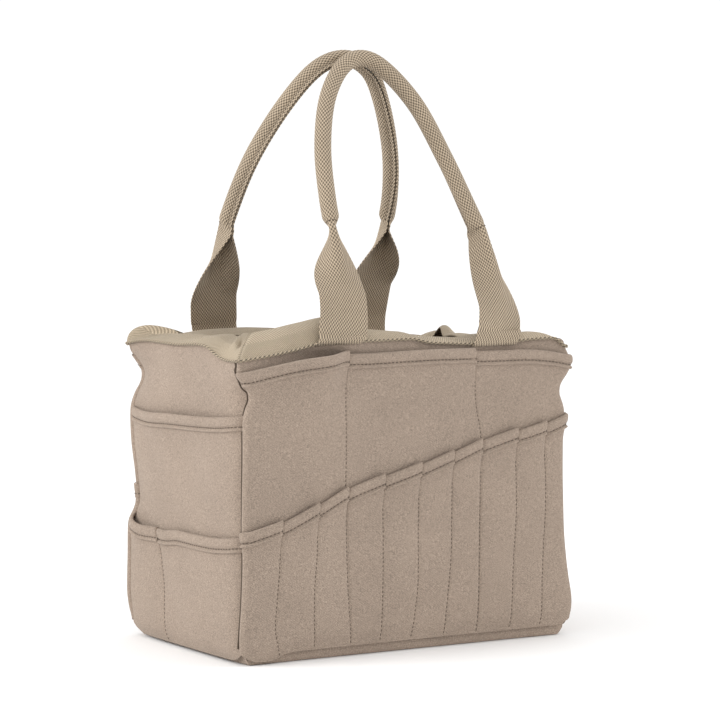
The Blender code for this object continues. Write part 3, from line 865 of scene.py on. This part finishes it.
class Handle:
    """One handle: its centre line from rim seam to rim seam, and its directions there."""

    def __init__(self, loop, side, rim, legs):
        self.side = side
        pivot = np.array([0.0, side * (HALF_D + PIVOT_OUT), PIVOT_Z])
        top = np.array([0.0, side * APEX_Y, APEX_Z])
        lean = (top - pivot) / np.linalg.norm(top - pivot)
        self.outward = np.array([0.0, side * lean[2], abs(lean[1])])
        flat = even_path(loop, 0.001)
        cut = 12
        body = pivot + flat[cut:-cut, :1] * np.array([1.0, 0.0, 0.0]) + flat[cut:-cut, 1:] * lean
        first = self.root(body[0], flat[0, 0], rim)
        last = self.root(body[-1], flat[-1, 0], rim)[::-1]
        self.path = np.concatenate([first, body, last])
        roots = len(first)
        self.up = np.concatenate([np.zeros(roots), flat[cut:-cut, 1], np.zeros(roots)])
        along = np.gradient(self.path, axis=0)
        self.along = unit(along)
        across = np.cross(self.along, self.outward)
        half = len(across) // 2
        level = np.where(np.arange(len(across)) < half, 1.0, -1.0)[:, None] * np.array([-side, 0, 0])
        mix = smooth(self.up / 0.040)[:, None]
        across = (across / np.maximum(np.linalg.norm(across, axis=1), 1e-9)[:, None]) * mix
        across = across + level * (1.0 - mix)
        across -= (across * self.along).sum(1)[:, None] * self.along * smooth(self.up / 0.030)[:, None]
        self.across = unit(across)
        normal = np.cross(self.across, self.along)
        self.normal = unit(normal)
        self.run = run_along(self.path)
        left = self.run < self.run[-1] / 2.0
        self.opens, self.neck, low_twist, twist = (np.where(left, a, b) for a, b in zip(*legs))
        self.share = np.clip((self.up - self.opens) / (self.neck - self.opens), 0.0, 1.0)
        self.closed = smooth((self.up - self.neck) / NECK_LONG)
        twist = low_twist * smooth(self.up / 0.012) + (twist - low_twist) * self.share ** 1.3
        twist = twist * (1.0 - smooth((self.up - self.neck) / 0.070))
        angle = (np.radians(twist) * np.where(left, 1.0, -1.0))[:, None]
        across, normal = self.across, self.normal
        self.across = across * np.cos(angle) - normal * np.sin(angle)
        self.normal = normal * np.cos(angle) + across * np.sin(angle)

    def root(self, top, x, rim):
        """The webbing's lower end: out of the rim seam, round its fold, and up."""
        place = -self.side * x
        seam_z = float(follow(rim, place)) - 0.0012
        start = np.array([x, self.side * (HALF_D + 0.0004), seam_z])
        bend = np.array([x, self.side * (HALF_D + 0.0085), seam_z + 0.0018])
        t = np.linspace(0.0, 1.0, 22)[:-1, None]
        return (1 - t) ** 2 * start + 2 * t * (1 - t) * bend + t ** 2 * top

    def headings(self, across):
        """Direction of the webbing's surface at each distance from its middle."""
        e = np.abs(across)[None, :]
        turn = GRIP_TURN * GRIP_R
        flange = math.pi / 2.0 + FLANGE_LEAN
        tube = np.minimum(e, turn) / GRIP_R + (flange - GRIP_TURN) * smooth((e - turn) / GRIP_EASE)
        share = self.share[:, None]
        bend = FOLD_TIGHT + (FOLD_LOOSE - FOLD_TIGHT) * (1.0 - share) ** 1.5
        folded = (math.pi / 2.0 + 0.06) * 1.06 * share ** 2 / (share + 0.06) * smooth(e / bend)
        closed = self.closed[:, None]
        return closed * tube + (1.0 - closed) * folded

    def section(self, across, off):
        """Points across the webbing, off its middle surface, and the surface's directions."""
        psi = self.headings(across)
        step = np.diff(across)[None, :]
        middle = (psi[:, 1:] + psi[:, :-1]) / 2.0
        sign = np.sign((across[1:] + across[:-1]) / 2.0)[None, :]
        x = from_zero(np.cos(middle) * step)
        y = from_zero(-sign * np.sin(middle) * step)
        centre = len(across) // 2
        x = x - x[:, centre:centre + 1]
        y = y - y[:, centre:centre + 1]
        side = np.sign(across)[None, :]
        x = x + off * side * np.sin(psi)
        y = y + off * np.cos(psi) + GRIP_R * (self.share ** 2)[:, None]
        return (self.path[:, None, :] + x[:, :, None] * self.across[:, None, :]
                + y[:, :, None] * self.normal[:, None, :])

    def webbing(self):
        """The webbing with its real weave, as a closed sheet."""
        across = np.linspace(-WEB_W / 2.0, WEB_W / 2.0, WEB_COLUMNS)
        u = across[None, :] + 0.0 * self.run[:, None]
        v = self.run[:, None] + 0.0 * across[None, :]
        edge = smooth((WEB_W / 2.0 - np.abs(u)) / 0.0015)
        weave = np.cos(2.0 * math.pi * u / WEAVE_ACROSS) * np.cos(2.0 * math.pi * v / WEAVE_ALONG)
        bump = WEAVE_HIGH * weave * edge
        thick = WEB_T / 2.0 * (0.55 + 0.45 * edge)
        outer = self.section(across, thick + bump)
        inner = self.section(across, -thick + bump)
        return slab_parts(outer, inner, np.stack([u, v], axis=-1))

    def core(self):
        """The filler cord inside the grip."""
        keep = self.up > self.neck + 0.006
        angle = np.linspace(0.0, 2.0 * math.pi, 16, endpoint=False)[None, :]
        radius = CORD_R * (1.0 + 0.05 * np.cos(3.0 * angle - 2.0 * math.pi * self.run[keep][:, None] / .02))
        path = self.path[keep][:, None, :]
        ring = (radius * np.cos(angle))[:, :, None] * self.across[keep][:, None, :]
        ring = ring + (radius * np.sin(angle))[:, :, None] * self.normal[keep][:, None, :]
        uv = np.stack([self.run[keep][:, None] + 0.0 * angle,
                       0.0 * self.run[keep][:, None] + angle * CORD_R], axis=-1)
        return bar_parts(path + ring, uv)

    def thread(self):
        """Stitching: along the grip's flange, and across each end of the grip."""
        across = np.linspace(-WEB_W / 2.0, WEB_W / 2.0, WEB_COLUMNS)
        outer = self.section(across, WEB_T / 2.0 + 0.0003)
        normal = outer - self.section(across, 0.0)
        normal = unit(normal)
        grip = self.up > self.neck + 0.004
        parts = []
        for k in (FLANGE_COLUMN, WEB_COLUMNS - 1 - FLANGE_COLUMN):
            parts += stitches(outer[grip, k], normal[grip, k], radius=THREAD_R * 0.9)
        wide = slice(WEB_COLUMNS // 3, WEB_COLUMNS - WEB_COLUMNS // 3)
        for end in (np.argmax(grip), len(grip) - 1 - np.argmax(grip[::-1])):
            parts += stitches(outer[end, wide], normal[end, wide], 0.0026, 0.0021, THREAD_R * 1.1)
        return parts


# ---- materials ----
class Cloth:
    """A procedural fabric: a shader, and the nodes that its colour and bump are built from."""

    def __init__(self, name, roughness=0.92, sheen=0.25, specular=0.15):
        self.material = bpy.data.materials.new(name)
        self.material.use_nodes = True
        self.tree = self.material.node_tree
        self.shader = self.tree.nodes["Principled BSDF"]
        self.shader.inputs["Roughness"].default_value = roughness
        self.shader.inputs["Specular IOR Level"].default_value = specular
        self.shader.inputs["Sheen Weight"].default_value = sheen
        self.shader.inputs["Sheen Roughness"].default_value = 0.5
        self.coordinates = self.add("ShaderNodeTexCoord")

    def add(self, kind, **values):
        """A node, with its settings and the default values of its named inputs."""
        node = self.tree.nodes.new(kind)
        for key, value in values.items():
            if hasattr(node, key):
                setattr(node, key, value)
            else:
                node.inputs[key.replace("_", " ").title()].default_value = value
        return node

    def link(self, start, finish):
        self.tree.links.new(start, finish)

    def noise(self, scale, detail, rough):
        """Noise in metres: scale is how many features fit in one metre."""
        node = self.add("ShaderNodeTexNoise", scale=scale, detail=detail, roughness=rough)
        self.link(self.coordinates.outputs["Object"], node.inputs["Vector"])
        return node.outputs["Fac"]

    def math(self, operation, first, second=None):
        """A math node; each operand is a number or another node's output."""
        node = self.add("ShaderNodeMath", operation=operation)
        for k, value in enumerate((first, second)):
            if value is None:
                continue
            if isinstance(value, (int, float)):
                node.inputs[k].default_value = value
            else:
                self.link(value, node.inputs[k])
        return node.outputs[0]

    def uv(self):
        """The two UV coordinates, in metres."""
        node = self.add("ShaderNodeSeparateXYZ")
        self.link(self.coordinates.outputs["UV"], node.inputs[0])
        return node.outputs[0], node.outputs[1]

    def wave(self, run, pitch):
        """A cosine of that pitch along run."""
        return self.math("COSINE", self.math("MULTIPLY", run, 2.0 * math.pi / pitch))

    def ramp(self, value, low, high):
        """Value mapped from low..high to 0..1."""
        node = self.add("ShaderNodeMapRange")
        node.inputs["From Min"].default_value = low
        node.inputs["From Max"].default_value = high
        self.link(value, node.inputs["Value"])
        return node.outputs["Result"]

    def tint(self, base, factor, dark, light):
        """A colour between dark and light times rgb, by factor; base is rgb or a colour output."""
        node = self.add("ShaderNodeMix", data_type="RGBA", blend_type="MIX")
        for socket, share in ((node.inputs[6], dark), (node.inputs[7], light)):
            socket.default_value = (share, share, share, 1.0)
        self.link(factor, node.inputs[0])
        product = self.add("ShaderNodeMix", data_type="RGBA", blend_type="MULTIPLY")
        product.inputs[0].default_value = 1.0
        if isinstance(base, tuple):
            product.inputs[6].default_value = (*base, 1.0)
        else:
            self.link(base, product.inputs[6])
        self.link(node.outputs[2], product.inputs[7])
        return product.outputs[2]

    def finish(self, colour, height, distance, strength=1.0):
        """Joins the colour and the bump to the shader."""
        self.link(colour, self.shader.inputs["Base Color"])
        bump = self.add("ShaderNodeBump")
        bump.inputs["Strength"].default_value = strength
        bump.inputs["Distance"].default_value = distance
        self.link(height, bump.inputs["Height"])
        self.link(bump.outputs["Normal"], self.shader.inputs["Normal"])
        return self.material


def canvas_material(name, rgb):
    """Brushed cotton twill: fine diagonal ribs, a soft nap, slight fading in patches."""
    cloth = Cloth(name, roughness=0.95, sheen=0.10, specular=0.08)
    u, v = cloth.uv()
    run = cloth.math("ADD", cloth.math("DIVIDE", u, TWILL_U), cloth.math("DIVIDE", v, TWILL_V))
    twill = cloth.wave(run, 1.0)
    fibre = cloth.noise(1150.0, 2.0, 0.6)
    nap = cloth.noise(520.0, 1.0, 0.5)
    cloud = cloth.noise(16.0, 3.0, 0.55)
    colour = cloth.tint(rgb, cloth.ramp(cloud, 0.32, 0.68), 0.955, 1.045)
    colour = cloth.tint(colour, cloth.ramp(nap, 0.34, 0.66), 0.93, 1.07)
    colour = cloth.tint(colour, cloth.ramp(fibre, 0.34, 0.66), 0.72, 1.28)
    colour = cloth.tint(colour, cloth.ramp(twill, -1.0, 1.0), 0.95, 1.05)
    height = cloth.math("ADD", cloth.math("MULTIPLY", twill, 0.15), cloth.math("MULTIPLY", fibre, 1.6))
    height = cloth.math("ADD", height, cloth.math("MULTIPLY", nap, 1.2))
    return cloth.finish(colour, height, 0.00024, 0.9)


def webbing_material(name, rgb):
    """Heavy cotton webbing: yarn floats painted light and the gaps between them painted dark, painted light
    and shade in step with the modelled weave.
    """
    cloth = Cloth(name, roughness=0.85, sheen=0.12, specular=0.15)
    u, v = cloth.uv()
    weave = cloth.math("MULTIPLY", cloth.wave(u, WEAVE_ACROSS), cloth.wave(v, WEAVE_ALONG))
    yarn = cloth.wave(cloth.math("ADD", cloth.math("MULTIPLY", u, 0.6), v), 0.00065)
    fibre = cloth.noise(1400.0, 2.0, 0.6)
    cloud = cloth.noise(22.0, 2.0, 0.5)
    colour = cloth.tint(rgb, cloth.ramp(cloud, 0.3, 0.7), 0.94, 1.05)
    # the weave's floats are painted lighter and its gaps darker: painted light and shade
    colour = cloth.tint(colour, cloth.ramp(weave, -0.6, 0.6), 0.34, 1.42)
    colour = cloth.tint(colour, cloth.ramp(fibre, 0.3, 0.7), 0.88, 1.12)
    height = cloth.math("ADD", cloth.math("MULTIPLY", yarn, 0.15), fibre)
    height = cloth.math("ADD", height, cloth.math("MULTIPLY", weave, 0.9))
    return cloth.finish(colour, height, 0.00035, 0.9)


def tape_material(name, rgb):
    """Herringbone tape: diagonal ribs that turn at the middle of its width."""
    cloth = Cloth(name, roughness=0.88, sheen=0.12, specular=0.12)
    u, v = cloth.uv()
    turned = cloth.math("ABSOLUTE", cloth.math("SUBTRACT", v, TAPE_W * 0.5))
    rib = cloth.wave(cloth.math("ADD", u, turned), 0.0026)
    fibre = cloth.noise(1300.0, 2.0, 0.6)
    cloud = cloth.noise(20.0, 2.0, 0.5)
    colour = cloth.tint(rgb, cloth.ramp(cloud, 0.3, 0.7), 0.95, 1.05)
    colour = cloth.tint(colour, cloth.ramp(rib, -0.7, 0.5), 0.66, 1.10)
    colour = cloth.tint(colour, cloth.ramp(fibre, 0.3, 0.7), 0.90, 1.10)
    height = cloth.math("ADD", cloth.math("MULTIPLY", rib, 0.8), cloth.math("MULTIPLY", fibre, 0.7))
    return cloth.finish(colour, height, 0.00045, 0.9)


def rope_material(name, rgb):
    """The tape's corded edge: light strands, with painted shade in the gaps between them."""
    cloth = Cloth(name, roughness=0.88, sheen=0.12, specular=0.12)
    phase = cloth.uv()[0]
    strand_and_gap_shade = cloth.math("COSINE", phase)
    fibre = cloth.noise(1300.0, 2.0, 0.6)
    # the gaps between the strands are painted dark: painted shade
    colour = cloth.tint(rgb, cloth.ramp(strand_and_gap_shade, -0.6, 0.4), 0.20, 0.92)
    colour = cloth.tint(colour, cloth.ramp(fibre, 0.3, 0.7), 0.90, 1.10)
    return cloth.finish(colour, fibre, 0.00030, 0.8)


def thread_material(name, rgb):
    """Matt sewing thread."""
    cloth = Cloth(name, roughness=0.8, sheen=0.1, specular=0.2)
    fibre = cloth.noise(2600.0, 1.0, 0.5)
    colour = cloth.tint(rgb, cloth.ramp(fibre, 0.3, 0.7), 0.8, 1.2)
    return cloth.finish(colour, fibre, 0.0001, 0.5)


def board_material(name, rgb):
    """Pressed fibre board."""
    cloth = Cloth(name, roughness=0.7, sheen=0.0, specular=0.3)
    grain = cloth.noise(420.0, 4.0, 0.6)
    colour = cloth.tint(rgb, cloth.ramp(grain, 0.3, 0.7), 0.85, 1.15)
    return cloth.finish(colour, grain, 0.0002, 0.4)


# ---- putting it together ----
def add_cloth(name, parts, material, body="bag"):
    """A piece made of parts, riding on a body."""
    item = make_piece(name, *parts, material)
    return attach(item, body)


def add_pocket(prefix, layer, rows_hidden=None):
    """A pocket layer: its cloth, its binding and its stitching."""
    pockets = range(layer.pockets)
    cloth = add_cloth(prefix + "_cloth", join_parts([pocket_cloth(layer, k) for k in pockets]),
                      CANVAS)
    hem = add_cloth(prefix + "_binding", join_parts([pocket_hem(layer, k) for k in pockets]),
                    CANVAS)
    sewn = []
    for k in pockets:
        sewn += hem_stitches(layer, k)
        if k:
            sewn += divider_stitches(layer, k, rows_hidden)
    thread = add_cloth(prefix + "_stitching", join_parts(sewn), THREAD)
    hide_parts(prefix)
    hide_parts(prefix.replace("_pocket", "_hem"))


CANVAS = canvas_material("canvas_twill", CANVAS_RGB)
# a lighter copy of the canvas for the shaded base: painted light
BASE = canvas_material("base_twill_lightened", BASE_LIGHTENED_RGB)
WEBBING = webbing_material("webbing_weave", WEBBING_RGB)
TAPE = tape_material("herringbone", TAPE_RGB)
ROPE = rope_material("corded_edge", TAPE_RGB)
# thread material, darker than the thread really is: painted shade of the stitch holes, also used for the
# dark seam cord
THREAD = thread_material("sewing_thread_and_shade", THREAD_AND_HOLE_SHADE_RGB)
CORD = thread_material("filler_cotton", CORD_RGB)
BOARD = board_material("fibre_board", BOARD_RGB)
WALL_NAMES = ("front_panel", "right_end_panel", "back_panel", "left_end_panel")


def build_body():
    """Walls, base, board and rim."""
    for wall, rim, foot, name in zip(WALLS, RIMS, FEET, WALL_NAMES):
        item = add_cloth(name + "_cloth", panel_cloth(wall, rim, foot), CANVAS)
        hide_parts(name)
        if wall is FRONT:
            # a dark cord beside the front's corner seams stands in for their shadow gap: painted shade
            add_cloth("front_seam_shadow_cord", front_seam_shadows(), THREAD)
    base = add_cloth("base_cloth", base_cloth(), BASE)
    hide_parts("base_panel")
    board = add_cloth("base_stiffener", base_board(), BOARD)
    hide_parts("base_board")
    tape = add_cloth("rim_tape", rim_tape(), TAPE)
    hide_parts("rim_band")
    rope = add_cloth("rim_tape_edge", rim_rope(), ROPE)


def build_pockets():
    """The pocket layers on all four walls."""
    upper = Layer(FRONT, FRONT_UPPER_LINES, FRONT_UPPER_TOP, puff=.0016, step=.0032, saw=.0030,
                  gapes=((0, .0105, .80, .080), (1, .0020, .45, .030), (2, .0015, .5, .03)))
    add_pocket("front_upper_pocket", upper, SLANT_TOP)
    slant = Layer(FRONT, SLANT_LINES, SLANT_TOP, puff=.0011, step=.0030, saw=.0036, below=upper)
    add_pocket("front_slant_pocket", slant)
    rear = Layer(BACK, BACK_UPPER_LINES, BACK_UPPER_TOP, puff=.0016, step=.0020, saw=.0020,
                 gapes=((0, .0030, .6, .05), (1, .0030, .5, .04)))
    add_pocket("back_upper_pocket", rear, BACK_LOWER_TOP)
    add_pocket("back_lower_pocket", Layer(BACK, BACK_LOWER_LINES, BACK_LOWER_TOP, puff=.0014,
                                          step=.0022, saw=.0020, gapes=((1, .002, .5, .03),), below=rear))
    ends = (("left", LEFT, LEFT_MIDDLE_TOP, LEFT_LOWER_TOP, LEFT_LOWER_LINES, (0, .0060, .45, .05)),
            ("right", RIGHT, RIGHT_MIDDLE_TOP, RIGHT_LOWER_TOP, RIGHT_LOWER_LINES, (0, .004, .5, .05)))
    for side, wall, middle_top, lower_top, lines, gape in ends:
        middle = Layer(wall, (), middle_top, puff=.0022, gapes=((0, .0030, .5, .04),))
        add_pocket(side + "_middle_pocket", middle)
        lower = Layer(wall, lines, lower_top, puff=.0022, step=.0008, saw=.0010, gapes=(gape,), below=middle)
        add_pocket(side + "_lower_pocket", lower)


def build_handles():
    """Both handles: webbing, cord and stitching."""
    for prefix, loop, side, rim, legs in (("front_handle", FRONT_LOOP, -1.0, FRONT_RIM, FRONT_LEGS),
                                          ("rear_handle", REAR_LOOP, 1.0, BACK_RIM, REAR_LEGS)):
        handle = Handle(loop, side, rim, legs)
        strap = make_piece(prefix + "_webbing", *handle.webbing(), WEBBING)
        core = add_cloth(prefix + "_cord", handle.core(), CORD, prefix)
        thread = add_cloth(prefix + "_stitching", join_parts(handle.thread()), THREAD, prefix)
        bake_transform(strap)
        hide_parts(prefix + "_strap")
        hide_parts(prefix + "_core")


# ---- studio ----
def add_light(name, place, aim, size, watts):
    """A soft square light aimed at a point."""
    light = bpy.data.lights.new(name, "AREA")
    light.energy = watts
    light.size = size
    item = bpy.data.objects.new(name, light)
    bpy.context.scene.collection.objects.link(item)
    offset = np.array(aim, float) - np.array(place, float)
    flat = math.hypot(offset[0], offset[1])
    item.location = place
    item.rotation_euler = (math.pi / 2.0 + math.atan2(offset[2], flat), 0.0,
                           math.atan2(-offset[0], offset[1]))


def build_studio():
    """White room light, one soft key from the upper left, a pale floor, and the camera."""
    world = bpy.data.worlds.new("studio")
    world.use_nodes = True
    world.node_tree.nodes["Background"].inputs["Color"].default_value = (1.0, 1.0, 1.0, 1.0)
    world.node_tree.nodes["Background"].inputs["Strength"].default_value = ROOM_LIGHT
    bpy.context.scene.world = world
    bpy.context.scene.view_settings.view_transform = "Standard"
    add_light("key", KEY_PLACE, LIGHT_AIM, LIGHT_SIZE, KEY_WATTS)
    add_light("fill", FILL_PLACE, LIGHT_AIM, LIGHT_SIZE, FILL_WATTS)
    mesh = bpy.data.meshes.new("floor")
    reach = FLOOR_REACH
    mesh.from_pydata([(-reach, -reach, 0), (reach, -reach, 0), (reach, reach, 0), (-reach, reach, 0)],
                     [], [(0, 1, 2, 3)])
    floor = bpy.data.objects.new("floor", mesh)
    floor.location.z = -0.0002
    material = bpy.data.materials.new("pale_floor")
    material.use_nodes = True
    shader = material.node_tree.nodes["Principled BSDF"]
    shader.inputs["Base Color"].default_value = (0.97, 0.97, 0.97, 1.0)
    shader.inputs["Roughness"].default_value = 0.9
    mesh.materials.append(material)
    bpy.context.scene.collection.objects.link(floor)
    camera = bpy.data.cameras.new("camera")
    camera.sensor_width = 36.0
    camera.lens = CAMERA_LENS
    item = bpy.data.objects.new("camera", camera)
    item.location = CAMERA_PLACE
    item.rotation_euler = (math.radians(90.0 - CAMERA_DOWN), 0.0, -math.radians(CAMERA_TURN))
    bpy.context.scene.collection.objects.link(item)
    bpy.context.scene.camera = item


build_body()
build_pockets()
build_handles()
build_studio()
